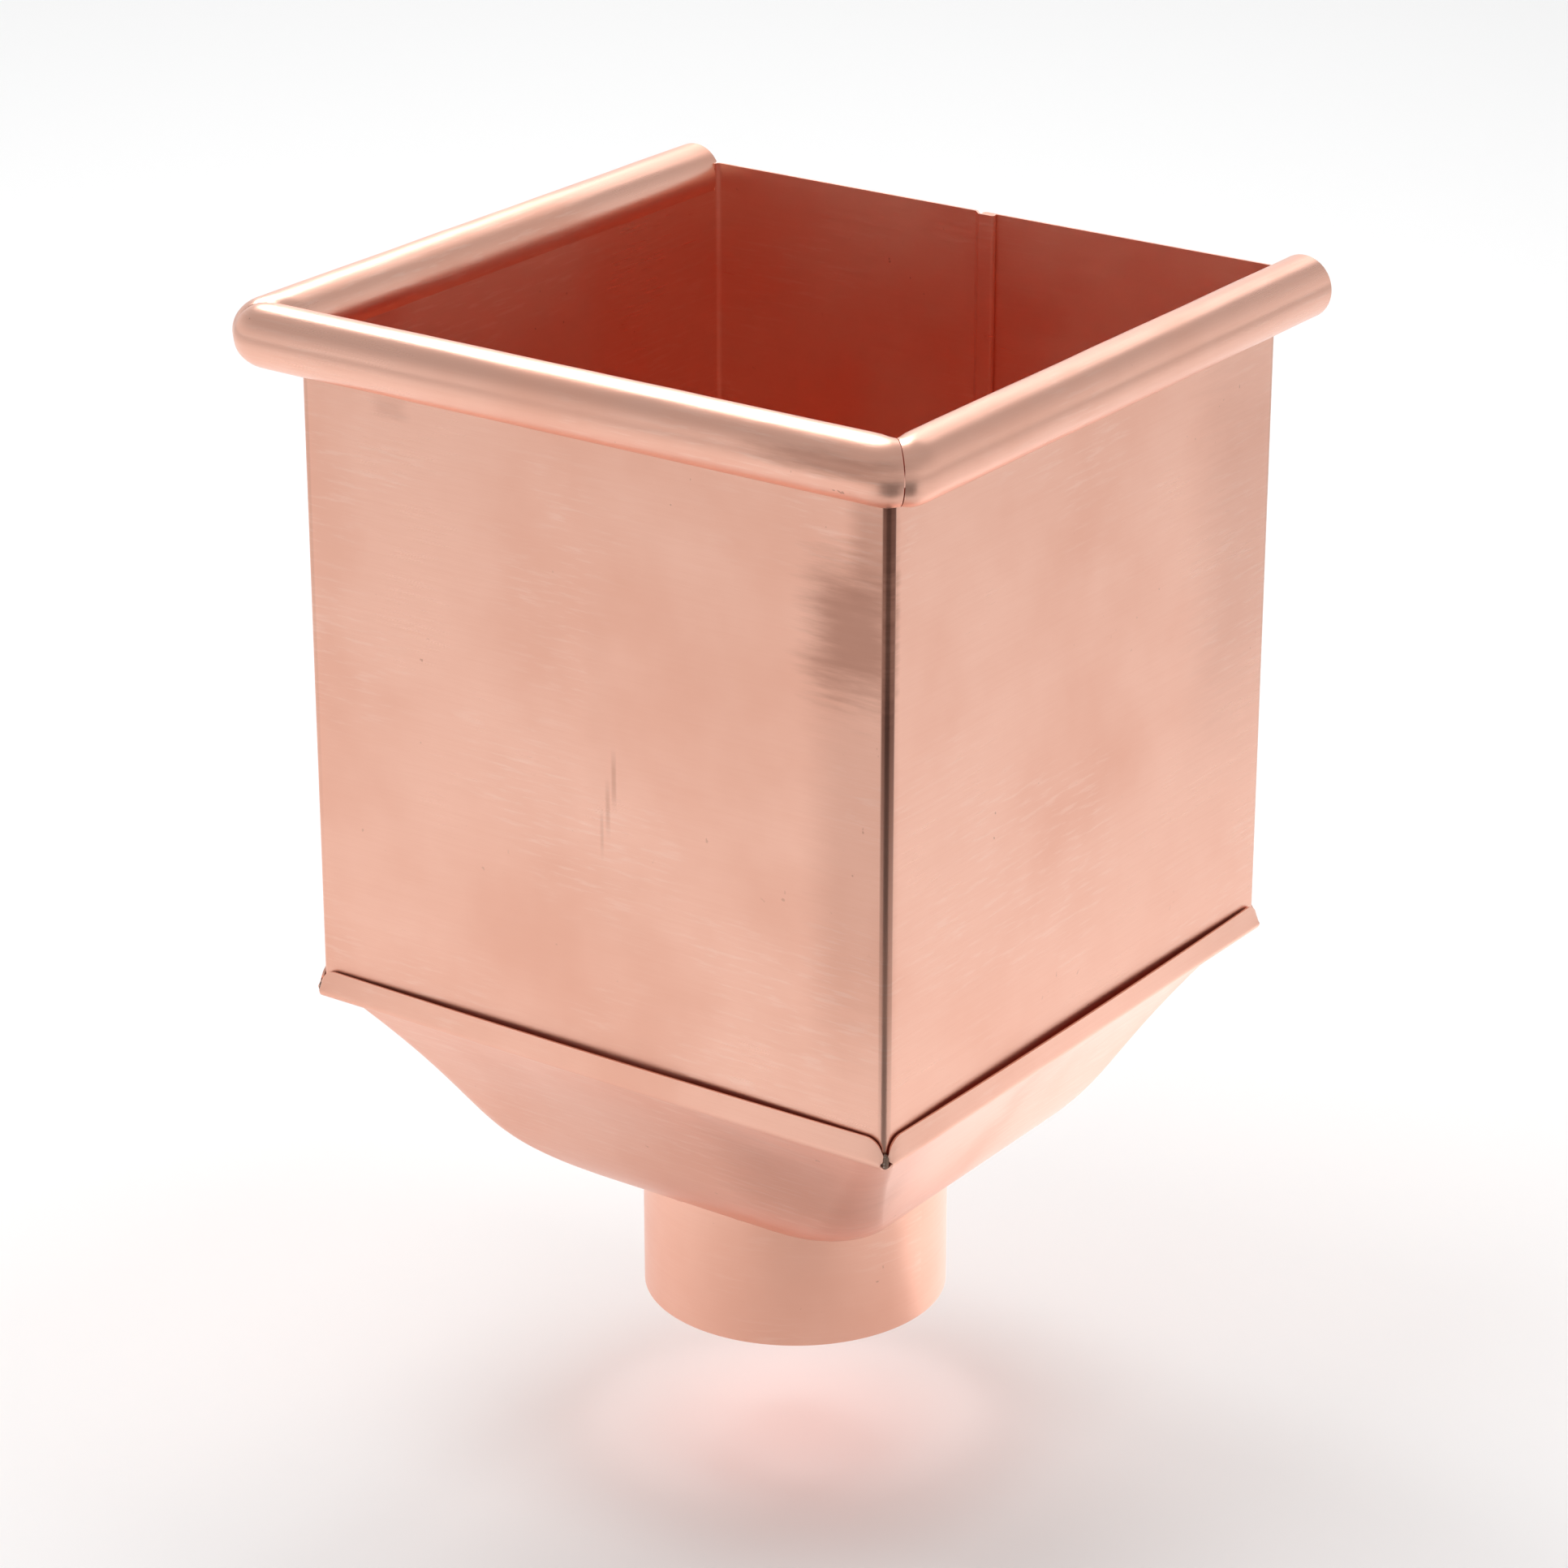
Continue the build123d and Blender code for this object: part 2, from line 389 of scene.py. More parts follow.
# %% Solder material
def make_solder(name, clean, dull, speck):
    material = bpy.data.materials.new(name)
    material.use_nodes = True
    tree = material.node_tree
    metal = tree.nodes["Principled BSDF"]
    metal.inputs["Metallic"].default_value = 1.0
    place = tree.nodes.new("ShaderNodeTexCoord")
    spots = tree.nodes.new("ShaderNodeGroup")
    spots.node_tree = stains
    tree.links.new(place.outputs["Object"], spots.inputs["Place"])
    grain = noise(tree, place.outputs["Object"], 900.0, 3.0, 0.6)
    colour = mix_colour(tree, spots.outputs["Clouds"], clean, dull)
    colour = mix_colour(tree, span(tree, grain, 0.55, 0.75), colour, speck)
    tree.links.new(colour, metal.inputs["Base Color"])
    rough = calc(tree, "ADD", calc(tree, "MULTIPLY", grain, 0.3), 0.28)
    tree.links.new(rough, metal.inputs["Roughness"])
    bump = tree.nodes.new("ShaderNodeBump")
    bump.inputs["Strength"].default_value = 0.6
    bump.inputs["Distance"].default_value = 0.0003
    tree.links.new(grain, bump.inputs["Height"])
    tree.links.new(bump.outputs["Normal"], metal.inputs["Normal"])
    return material


tin = make_solder("tin_solder", (0.46, 0.45, 0.43, 1.0), (0.30, 0.27, 0.25, 1.0), (0.62, 0.60, 0.57, 1.0))
burnt_tin = make_solder("burnt_solder", (0.26, 0.17, 0.13, 1.0), (0.13, 0.08, 0.06, 1.0), (0.60, 0.55, 0.50, 1.0))
print("solder finishes made")

# %% [markdown]
# The walls are one strip bent round the corners and hooked together in the middle of the back. Seen from
# above the strip is a line, so the line is drawn first, with an arc at each bend, and then carried up in
# rows. Thin sheet is never quite flat: a slow swell of a fraction of a millimetre in each wall bends the
# reflections the way real sheet does.

# %% Plan of the wall strip
SEAM_CLEARANCE = 0.00012
pitch = sheet + SEAM_CLEARANCE
seam_left, seam_right = -0.004, 0.004
joggle_end = seam_left + 0.0024
hook_left = joggle_end + sheet + SEAM_CLEARANCE
seam_fold = 0.75 * pitch
joggle_bend = 0.001
level = [wall_mid - step * pitch for step in range(4)]


def rounded_line(points, radii, straight_step, arc_steps):
    """Points along a line with an arc at each inner corner."""
    line = [Vector(points[0])]
    for before, corner, after, radius in zip(points, points[1:], points[2:], radii):
        corner = Vector(corner)
        back = (Vector(before) - corner).normalized()
        ahead = (Vector(after) - corner).normalized()
        opening = back.angle(ahead)
        reach = radius / math.tan(opening / 2)
        start, end = corner + back * reach, corner + ahead * reach
        middle = corner + (back + ahead).normalized() * radius / math.sin(opening / 2)
        straight = max(1, round((start - line[-1]).length / straight_step))
        line += [line[-1].lerp(start, k / straight) for k in range(1, straight + 1)]
        spoke = start - middle
        sweep = spoke.angle_signed(end - middle)
        line += [middle + Matrix.Rotation(-sweep * k / arc_steps, 2) @ spoke for k in range(1, arc_steps + 1)]
    last = Vector(points[-1])
    straight = max(1, round((last - line[-1]).length / straight_step))
    line += [line[-1].lerp(last, k / straight) for k in range(1, straight + 1)]
    return line


strip_points = [
    (hook_left + sheet / 2 + SEAM_CLEARANCE, level[1]),
    (seam_right - sheet / 2, level[1]),
    (seam_right - sheet / 2, level[3]),
    (joggle_end, level[3]),
    (seam_left, level[0]),
    (-wall_mid, wall_mid),
    (-wall_mid, -wall_mid),
    (wall_mid, -wall_mid),
    (wall_mid, wall_mid),
    (hook_left, level[0]),
    (hook_left, level[2]),
    (seam_right - sheet - SEAM_CLEARANCE, level[2]),
]
strip_radii = [seam_fold, seam_fold, joggle_bend, joggle_bend] + [bend_mid] * 4 + [seam_fold, seam_fold]
strip = rounded_line(strip_points, strip_radii, 0.004, 6)
along = [0.0]
for here, there in zip(strip, strip[1:]):
    along.append(along[-1] + (there - here).length)
bends = [distance for distance, spot in zip(along, strip)
         if min(abs(spot.x), abs(spot.y)) > wall_mid - bend_mid
         and abs(abs(spot.x) - abs(spot.y)) < 0.0001]
print(f"wall strip: {len(strip)} points, bends at", [round(distance, 4) for distance in bends])

# %% Walls
SWELL = 0.00035
wall_rows = 58
crease_row = 56


def swell(x, y, z):
    """How far a wall stands in from flat here: nothing at its edges, most between them."""
    across = x if abs(abs(y) - wall_mid) < 0.003 else y
    share = max(0.0, 1 - (across / (half - bend_outer)) ** 2)
    rise = (z - ledge_top) / (crease_z - ledge_top)
    lift = max(0.0, math.sin(math.pi * min(max(rise, 0.0), 1.0)))
    wave = 0.6 + 0.4 * math.sin(across * 46 + x * 31 - y * 17 + z * 25)
    return SWELL * share * lift * wave


def wall_heights():
    low = [ledge_top + (crease_z - ledge_top) * k / crease_row for k in range(crease_row + 1)]
    top = [crease_z + (back_edge - crease_z) * k / (wall_rows - crease_row) for k in range(1, 3)]
    return low + top


def make_walls():
    rows, flat_rows = [], []
    for z in wall_heights():
        row = []
        for spot in strip:
            inward = swell(spot.x, spot.y, z)
            pull = Vector((spot.x, spot.y))
            if abs(abs(spot.x) - wall_mid) < 0.00005:
                pull.x -= math.copysign(inward, spot.x)
            if abs(abs(spot.y) - wall_mid) < 0.00005 and abs(spot.x) > seam_right:
                pull.y -= math.copysign(inward, spot.y)
            row.append((pull.x, pull.y, z))
        rows.append(row)
        flat_rows.append([(distance, z) for distance in along])
    bend_line = half - bend_outer
    in_back = [spot.y > 0 and (spot.y > bend_line - 0.00001 or abs(spot.x) < bend_line) for spot in strip]
    keep = lambda r, c: r < crease_row or (in_back[c] and in_back[c + 1])
    return grid_mesh("walls", rows, flat_rows, keep=keep)


walls = make_walls()
print(f"walls: {len(walls.polygons)} faces before they get their thickness")

# %% [markdown]
# The bead is the sheet's own edge, led inward a little and then rolled outward round a rod. That is a rule, so
# Geometry Nodes draws it: a flat grid is bent by the same arcs for the front and both sides. Its ends run on
# to the mitre at the front corners, where a fine slit stays open, and are cut square at the back. The roll
# tucks in slightly at the mitres, which were dressed round with a mallet, and wanders by a hair along its
# length, as hand-rolled edges do.

# %% Rolled bead tree
BEAD_INPUTS = [
    ("Half Width", half), ("Crease Height", crease_z), ("Crease Radius", bead_crease),
    ("Lead Angle", bead_lead), ("Axis Out", bead_axis_out), ("Axis Height", bead_axis_z),
    ("Roll Radius", bead_mid), ("Roll Turn", bead_turn), ("Slit", mitre_slit),
    ("Back Relief", bend_outer + mitre_slit), ("Mitre Start", 1.0), ("Mitre Finish", 1.0),
    ("Corner Round", 0.016), ("Corner Reach", body_high[0]),
    ("Tuck", 0.0006), ("Wander", 0.0003), ("Quarter Turns", 0.0), ("Sheet Place", 0.0),
]


def make_bead_tree(material):
    tree = bpy.data.node_groups.new("rolled bead", "GeometryNodeTree")
    for label, value in BEAD_INPUTS:
        socket = tree.interface.new_socket(label, in_out="INPUT", socket_type="NodeSocketFloat")
        socket.default_value = value
    tree.interface.new_socket("Bead", in_out="OUTPUT", socket_type="NodeSocketGeometry")
    source = tree.nodes.new("NodeGroupInput").outputs
    grid = tree.nodes.new("GeometryNodeMeshGrid")
    grid.inputs["Size X"].default_value = 2.0
    grid.inputs["Size Y"].default_value = 1.0
    grid.inputs["Vertices X"].default_value = 97
    grid.inputs["Vertices Y"].default_value = 73
    split = tree.nodes.new("ShaderNodeSeparateXYZ")
    tree.links.new(tree.nodes.new("GeometryNodeInputPosition").outputs[0], split.inputs[0])
    along = split.outputs["X"]
    up = calc(tree, "ADD", split.outputs["Y"], 0.5)

    lead_length = calc(tree, "MULTIPLY", source["Crease Radius"], source["Lead Angle"])
    roll_length = calc(tree, "MULTIPLY", source["Roll Radius"], source["Roll Turn"])
    travel = calc(tree, "MULTIPLY", up, calc(tree, "ADD", lead_length, roll_length))
    lead_angle = calc(tree, "DIVIDE", calc(tree, "MINIMUM", travel, lead_length), source["Crease Radius"])
    past = calc(tree, "MAXIMUM", calc(tree, "SUBTRACT", travel, lead_length), 0.0)
    roll_angle = calc(tree, "DIVIDE", past, source["Roll Radius"])
    rolled = calc(tree, "GREATER_THAN", past, 0.0)

    lead_out = calc(tree, "SUBTRACT", -sheet / 2, calc(
        tree, "MULTIPLY", source["Crease Radius"],
        calc(tree, "SUBTRACT", 1.0, calc(tree, "COSINE", lead_angle))))
    lead_up = calc(tree, "MULTIPLY_ADD", calc(tree, "SINE", lead_angle),
                   source["Crease Radius"], source["Crease Height"])

    to_end = calc(tree, "MULTIPLY", calc(tree, "SUBTRACT", 1.0, calc(tree, "ABSOLUTE", along)), source["Half Width"])
    near_end = calc(tree, "POWER", 2.718, calc(
        tree, "MULTIPLY", calc(tree, "POWER", calc(tree, "DIVIDE", to_end, 0.0028), 2.0), -1.0))
    at_finish = calc(tree, "GREATER_THAN", along, 0.0)
    mitred = calc(tree, "ADD", calc(tree, "MULTIPLY", at_finish, source["Mitre Finish"]),
                  calc(tree, "MULTIPLY", calc(tree, "SUBTRACT", 1.0, at_finish), source["Mitre Start"]))
    tuck = calc(tree, "MULTIPLY", calc(tree, "MULTIPLY", near_end, mitred), source["Tuck"])
    place = tree.nodes.new("ShaderNodeCombineXYZ")
    tree.links.new(calc(tree, "MULTIPLY", along, 3.2), place.inputs["X"])
    tree.links.new(calc(tree, "MULTIPLY", roll_angle, 0.45), place.inputs["Y"])
    tree.links.new(source["Quarter Turns"], place.inputs["Z"])
    drift = calc(tree, "MULTIPLY", calc(tree, "SUBTRACT", noise(tree, place.outputs[0], 1.0, 1.0), 0.9),
                 source["Wander"])
    ease = calc(tree, "MINIMUM", calc(tree, "DIVIDE", roll_angle, 0.7), 1.0)
    change = calc(tree, "MULTIPLY", calc(tree, "SUBTRACT", drift, tuck), ease)
    radius = calc(tree, "ADD", source["Roll Radius"], change)
    face = calc(tree, "SUBTRACT", calc(tree, "ADD", math.pi, source["Lead Angle"]), roll_angle)
    roll_out = calc(tree, "MULTIPLY_ADD", calc(tree, "COSINE", face), radius, source["Axis Out"])
    roll_up = calc(tree, "MULTIPLY_ADD", calc(tree, "SINE", face), radius, source["Axis Height"])

    unrolled = calc(tree, "SUBTRACT", 1.0, rolled)
    out = calc(tree, "ADD", calc(tree, "MULTIPLY", roll_out, rolled), calc(tree, "MULTIPLY", lead_out, unrolled))
    height = calc(tree, "ADD", calc(tree, "MULTIPLY", roll_up, rolled), calc(tree, "MULTIPLY", lead_up, unrolled))
    mitre_end = calc(tree, "SUBTRACT", calc(tree, "ADD", source["Half Width"], out), source["Slit"])
    clear = calc(tree, "MULTIPLY", calc(tree, "LESS_THAN", out, source["Slit"]), source["Back Relief"])
    square_end = calc(tree, "SUBTRACT", source["Half Width"], clear)
    end = calc(tree, "ADD", calc(tree, "MULTIPLY", mitre_end, mitred),
               calc(tree, "MULTIPLY", square_end, calc(tree, "SUBTRACT", 1.0, mitred)))
    across = calc(tree, "MULTIPLY", along, end)

    centre = calc(tree, "SUBTRACT", source["Corner Reach"], source["Corner Round"])
    side_way, front_way = calc(tree, "ABSOLUTE", across), calc(tree, "ADD", source["Half Width"], out)
    past_side = calc(tree, "MAXIMUM", calc(tree, "SUBTRACT", side_way, centre), 0.0)
    past_front = calc(tree, "MAXIMUM", calc(tree, "SUBTRACT", front_way, centre), 0.0)
    straight = calc(tree, "MAXIMUM", past_side, past_front)
    slanted = calc(tree, "SQRT", calc(
        tree, "MULTIPLY_ADD", past_side, past_side, calc(tree, "MULTIPLY", past_front, past_front)))
    shrink = calc(tree, "DIVIDE", straight, calc(tree, "MAXIMUM", slanted, 0.000001))
    loss = calc(tree, "MULTIPLY", calc(tree, "SUBTRACT", 1.0, shrink), mitred)
    across = calc(tree, "SUBTRACT", across, calc(
        tree, "MULTIPLY", calc(tree, "SIGN", across), calc(tree, "MULTIPLY", past_side, loss)))
    front_way = calc(tree, "SUBTRACT", front_way, calc(tree, "MULTIPLY", past_front, loss))

    flat = tree.nodes.new("ShaderNodeCombineXYZ")
    tree.links.new(calc(tree, "MULTIPLY_ADD", along, source["Half Width"], source["Sheet Place"]), flat.inputs["X"])
    tree.links.new(calc(tree, "ADD", travel, source["Crease Height"]), flat.inputs["Y"])
    store = tree.nodes.new("GeometryNodeStoreNamedAttribute")
    store.data_type = "FLOAT2"
    store.domain = "CORNER"
    store.inputs["Name"].default_value = SHEET_MAP
    tree.links.new(grid.outputs["Mesh"], store.inputs["Geometry"])
    tree.links.new(flat.outputs[0], store.inputs["Value"])

    bent = tree.nodes.new("ShaderNodeCombineXYZ")
    tree.links.new(across, bent.inputs["X"])
    tree.links.new(calc(tree, "MULTIPLY", front_way, -1.0), bent.inputs["Y"])
    tree.links.new(height, bent.inputs["Z"])
    bend = tree.nodes.new("GeometryNodeSetPosition")
    tree.links.new(store.outputs["Geometry"], bend.inputs["Geometry"])
    tree.links.new(bent.outputs[0], bend.inputs["Position"])

    turn = tree.nodes.new("ShaderNodeCombineXYZ")
    tree.links.new(calc(tree, "MULTIPLY", source["Quarter Turns"], math.pi / 2), turn.inputs["Z"])
    place_side = tree.nodes.new("GeometryNodeTransform")
    tree.links.new(bend.outputs["Geometry"], place_side.inputs["Geometry"])
    tree.links.new(turn.outputs[0], place_side.inputs["Rotation"])
    real = tree.nodes.new("GeometryNodeRealizeInstances")
    paint = tree.nodes.new("GeometryNodeSetMaterial")
    paint.inputs["Material"].default_value = material
    tree.links.new(place_side.outputs["Geometry"], real.inputs["Geometry"])
    tree.links.new(real.outputs["Geometry"], paint.inputs["Geometry"])
    target = tree.nodes.new("NodeGroupOutput")
    tree.links.new(paint.outputs["Geometry"], target.inputs["Bead"])
    return tree


def run_tree(name, tree, values):
    """The plain mesh that a tree makes with these input values."""
    holder = new_piece(name, bpy.data.meshes.new(name))
    modifier = holder.modifiers.new(name, "NODES")
    modifier.node_group = tree
    for item in tree.interface.items_tree:
        if item.in_out == "INPUT" and item.name in values:
            modifier[item.identifier] = values[item.name]
    mesh = plain_mesh(holder)
    bpy.data.objects.remove(holder)
    return mesh


# %% [markdown]
# A sheet bent over a brake keeps a faint dark line along each bend. Down the near bend, between the front and the
# right, a much darker line is painted reflection, darker towards the top. Grey patches are laid too: painted
# reflections on the front wall by the near corner, on the back part of the right wall and on the right end of the
# front bead, three short dashes of a scuff, and a small grey patch below the left part of the front bead. All are
# laid over the walls' colour by their places on the box, so that they stay where they are from every side.

# %% Bend lines, painted reflections and marks
bend_centre = half - bend_outer
BEND_LINE = 0.0008
BEND_LINE_AND_REFLECTION_COPPER = (0.11, 0.042, 0.030, 1.0)


def add_bend_lines_and_reflection(material):
    """Dark lines on the outside of the bends: a faint line on each, and painted dark reflection on the one between the
    front and the right, which is the darkest.
    """
    tree = material.node_tree
    place = tree.nodes.new("ShaderNodeTexCoord").outputs["Object"]
    spot = tree.nodes.new("ShaderNodeSeparateXYZ")
    tree.links.new(place, spot.inputs[0])
    x, y, z = spot.outputs
    past_x = calc(tree, "SUBTRACT", calc(tree, "ABSOLUTE", x), bend_centre)
    past_y = calc(tree, "SUBTRACT", calc(tree, "ABSOLUTE", y), bend_centre)
    line = span(tree, calc(tree, "MINIMUM", past_x, past_y), -BEND_LINE, 0.0)
    wide_x, wide_y = calc(tree, "MAXIMUM", past_x, 0.0), calc(tree, "MAXIMUM", past_y, 0.0)
    reach = calc(tree, "SQRT", calc(tree, "MULTIPLY_ADD", wide_x, wide_x, calc(tree, "MULTIPLY", wide_y, wide_y)))
    outside = span(tree, reach, bend_mid - 0.0001, bend_mid + 0.0001)
    on_bend = span(tree, reach, bend_outer + 0.0006, bend_outer + 0.0002)
    # The near bend gets the painted dark reflection; the other bends keep only a faint line.
    near = span(tree, calc(tree, "SUBTRACT", x, y), 1.8 * half, 1.9 * half)
    line_and_reflection_weight = calc(tree, "MULTIPLY_ADD", near, 0.86, 0.12)
    # The painted line grows darker towards the top.
    rise = span(tree, z, ledge_top - 0.03, ledge_top + 0.17)
    below_bead = span(tree, z, crease_z + 0.0005, crease_z)
    mask = line
    for part in (outside, on_bend, line_and_reflection_weight, rise, below_bead):
        mask = calc(tree, "MULTIPLY", mask, part)
    # Painted reflection: a dark line down the near bend, over faint brake lines on the other bends.
    tint(material, mask, BEND_LINE_AND_REFLECTION_COPPER, 1.0)


add_bend_lines_and_reflection(wall_copper)
GREY_COPPER = (0.40, 0.19, 0.135, 1.0)
FRONT = -half
wall_reflections_and_marks = [
    # Painted reflection: three grey patches on the front wall by the near corner.
    ((0.0960, FRONT, 0.280), (0.0230, 0.006, 0.030), GREY_COPPER, 0.74, 0.7),
    ((0.1020, FRONT, 0.308), (0.0110, 0.006, 0.026), GREY_COPPER, 0.45, 0.5),
    ((0.0975, FRONT, 0.215), (0.0230, 0.006, 0.095), GREY_COPPER, 0.28, 0.3),
    # Painted reflection: a grey patch on the back part of the right wall.
    ((half, 0.095, 0.255), (0.01, 0.045, 0.095), GREY_COPPER, 0.22, 0.4),
    # A small grey patch just below the left part of the front bead.
    ((-0.073, FRONT, 0.316), (0.009, 0.006, 0.005), GREY_COPPER, 0.2, 0.9),
    # Three short grey dashes make a slanted scuff.
    ((0.0090, FRONT, 0.2150), (0.0013, 0.006, 0.0110), GREY_COPPER, 0.34, 0.2),
    ((0.0066, FRONT, 0.2055), (0.0012, 0.006, 0.0110), GREY_COPPER, 0.28, 0.2),
    ((0.0044, FRONT, 0.1970), (0.0009, 0.006, 0.0100), GREY_COPPER, 0.20, 0.2),
    # Painted reflection: a dark band on the right end of the front bead.
    ((0.1000, -0.1265, 0.3365), (0.034, 0.009, 0.0042), GREY_COPPER, 0.6, 0.9),
]
add_patches(wall_copper, wall_reflections_and_marks)
funnel_painted_reflections = [
    # Painted reflection: the funnel's front and near hip are darkened where they mirror the shadowed floor.
    ((0.062, -0.085, 0.088), (0.040, 0.030, 0.032), GREY_COPPER, 0.34, 0.3),
    ((-0.010, -0.080, 0.080), (0.110, 0.035, 0.045), GREY_COPPER, 0.16, 0.2),
]
add_patches(funnel_copper, funnel_painted_reflections)
print(f"{len(wall_reflections_and_marks)} patches laid on the walls, {len(funnel_painted_reflections)} on the funnel")

# %% Beads and box body
bead_tree = make_bead_tree(wall_copper)
beads = [
    run_tree("front bead", bead_tree, {"Sheet Place": (bends[1] + bends[2]) / 2}),
    run_tree("right bead", bead_tree, {
        "Sheet Place": (bends[2] + bends[3]) / 2, "Quarter Turns": 1.0, "Mitre Finish": 0.0}),
    run_tree("left bead", bead_tree, {
        "Sheet Place": (bends[0] + bends[1]) / 2, "Quarter Turns": -1.0, "Mitre Start": 0.0}),
]
box_body = joined("copper_box", [walls] + beads)
thicken(box_body)
dress(box_body, ["box_body"], wall_copper)

# %% [markdown]
# The funnel is pressed from one sheet. Each level of it is a rounded square, and the corners grow rounder
# towards the pipe. Its side follows a Bezier curve, as in the part's source. At the top the sheet turns flat
# under the walls and then up into a low lip on each side. The lips lean towards the walls at their ends.

# %% Funnel form
ledge_under = ledge_top - sheet
mouth_half = half - 0.0022
throat_half = pipe_radius - 0.006
throat_height = 0.0418
mouth_angle, throat_angle = math.radians(52), math.radians(27)
side_length = math.hypot(mouth_half - throat_half, ledge_under - throat_height)
mouth_pull, throat_pull = 0.63 * side_length, 0.48 * side_length
hip_top, hip_end, hip_growth = 0.009, 0.9 * throat_half, 2.3
hole_radius = 0.0493
SIDE = [
    Vector((mouth_half, ledge_under)),
    Vector((mouth_half - mouth_pull * math.cos(mouth_angle), ledge_under - mouth_pull * math.sin(mouth_angle))),
    Vector((throat_half + throat_pull * math.cos(throat_angle), throat_height + throat_pull * math.sin(throat_angle))),
    Vector((throat_half, throat_height)),
]


def side_point(t):
    """Half width, height and slope of the funnel's underside, from the ledge (0) to the throat (1)."""
    a, b, c, d = SIDE
    point = a * (1 - t) ** 3 + b * 3 * t * (1 - t) ** 2 + c * 3 * t * t * (1 - t) + d * t ** 3
    slope = (b - a) * (1 - t) ** 2 + (c - b) * 2 * t * (1 - t) + (d - c) * t * t
    return point, slope.normalized()


def hip_radius(width):
    share = max((mouth_half - width) / (mouth_half - throat_half), 0.0)
    return hip_top + (hip_end - hip_top) * share ** hip_growth


LIP_CORNER_SHARE = 0.0557


def side_shares():
    """Places along one side as shares of its half length, close together at the ends."""
    inner = 1 - LIP_CORNER_SHARE
    ends = [inner + LIP_CORNER_SHARE * math.sin(math.pi / 2 * k / 10) for k in range(1, 11)]
    middle = [-inner + 2 * inner * k / 44 for k in range(45)]
    return [-share for share in reversed(ends)] + middle + ends


def rounded_square(width, radius, arc_steps=16):
    """Points round a square with rounded corners, starting on the front side."""
    ring = []
    flat = width - radius
    for quarter in range(4):
        turn = Matrix.Rotation(quarter * math.pi / 2, 2)
        for share in side_shares()[:-1]:
            ring.append(turn @ Vector((flat * share, -width)))
        for k in range(arc_steps):
            angle = -math.pi / 2 + math.pi / 2 * k / arc_steps
            ring.append(turn @ Vector((flat + radius * math.cos(angle), -flat + radius * math.sin(angle))))
    return ring


def ring_lengths(ring):
    lengths = [0.0]
    for here, there in zip(ring, ring[1:] + ring[:1]):
        lengths.append(lengths[-1] + (there - here).length)
    return lengths


# %% Ledge and funnel sheet
LIP_CLEARANCE = 0.00178
LIP_BEND = 0.0015
lip_mid = half + LIP_CLEARANCE + sheet / 2
lip_bend_mid = LIP_BEND + sheet / 2
lip_flat = lip_mid - lip_bend_mid
PLATE_CORNER = 0.0006
FUNNEL_STEPS = 48


def funnel_levels():
    """Half width, corner radius and height of each ring of the sheet's middle, from the ledge's edge inward."""
    levels = [(lip_flat, PLATE_CORNER, ledge_mid)]
    start = mouth_half - sheet / 2 * math.tan(mouth_angle / 2)
    bend = 0.0016
    levels.append((start + bend * math.tan(mouth_angle / 2), hip_top, ledge_mid))
    for step in range(1, 7):
        angle = mouth_angle * step / 7
        levels.append((start + bend * math.tan(mouth_angle / 2) - bend * math.sin(angle), hip_top,
                       ledge_mid - bend * (1 - math.cos(angle))))
    for step in range(1, FUNNEL_STEPS + 1):
        point, slope = side_point(step / FUNNEL_STEPS)
        width = point.x + slope.y * sheet / 2
        height = point.y - slope.x * sheet / 2
        levels.append((width, hip_radius(point.x) + slope.y * sheet / 2, height))
    return levels


def make_funnel_sheet():
    rows, flat_rows = [], []
    travel, before = 0.0, None
    for width, radius, height in funnel_levels():
        ring = rounded_square(width, radius)
        if before:
            travel += math.hypot(before[0] - width, before[1] - height)
        before = (width, height)
        kept = []
        for spot in ring:
            reach = max(spot.length, hole_radius)
            kept.append(spot.normalized() * reach)
        rows.append([(spot.x, spot.y, height) for spot in kept])
        flat_rows.append([(distance, -travel) for distance in ring_lengths(ring)])
    return grid_mesh("funnel sheet", rows, flat_rows, closed=True)


funnel_sheet = make_funnel_sheet()
print(f"funnel sheet: {len(funnel_sheet.polygons)} faces")

# %% One lip
lip_top = funnel_high[2]
LIP_CORNER = 0.006
LIP_LEAN = 0.0013
lip_half = lip_flat - PLATE_CORNER


def make_lip():
    """The lip on the right side: a quarter bend from the ledge, then an upright strip with rounded ends."""
    places = [lip_half * share for share in side_shares()]
    rows, flat_rows = [], []
    bend_steps, rise_steps = 6, 8
    for step in range(bend_steps + 1):
        angle = math.pi / 2 * step / bend_steps
        out = lip_flat + lip_bend_mid * math.sin(angle)
        up = ledge_mid + lip_bend_mid * (1 - math.cos(angle))
        rows.append([(out, place, up) for place in places])
        flat_rows.append([(place, lip_bend_mid * angle) for place in places])
    foot = ledge_mid + lip_bend_mid
    for step in range(1, rise_steps + 1):
        share = step / rise_steps
        row, flat_row = [], []
        for place in places:
            over = max(abs(place) - (lip_half - LIP_CORNER), 0.0)
            top = lip_top - LIP_CORNER + math.sqrt(max(LIP_CORNER ** 2 - over ** 2, 0.0))
            lean = LIP_LEAN * share * (place / lip_half) ** 2
            up = foot + (top - foot) * share
            row.append((lip_mid - lean, place, up))
            flat_row.append((place, up - foot + lip_bend_mid * math.pi / 2))
        rows.append(row)
        flat_rows.append(flat_row)
    return grid_mesh("lip", rows, flat_rows)


lip = make_lip()
print(f"lip: {len(lip.polygons)} faces")

# %% [markdown]
# The four lips are the same strip, a quarter turn apart. A small tree places the strip four times round the
# axis and makes the copies real, so that they can be joined to the funnel's own sheet.

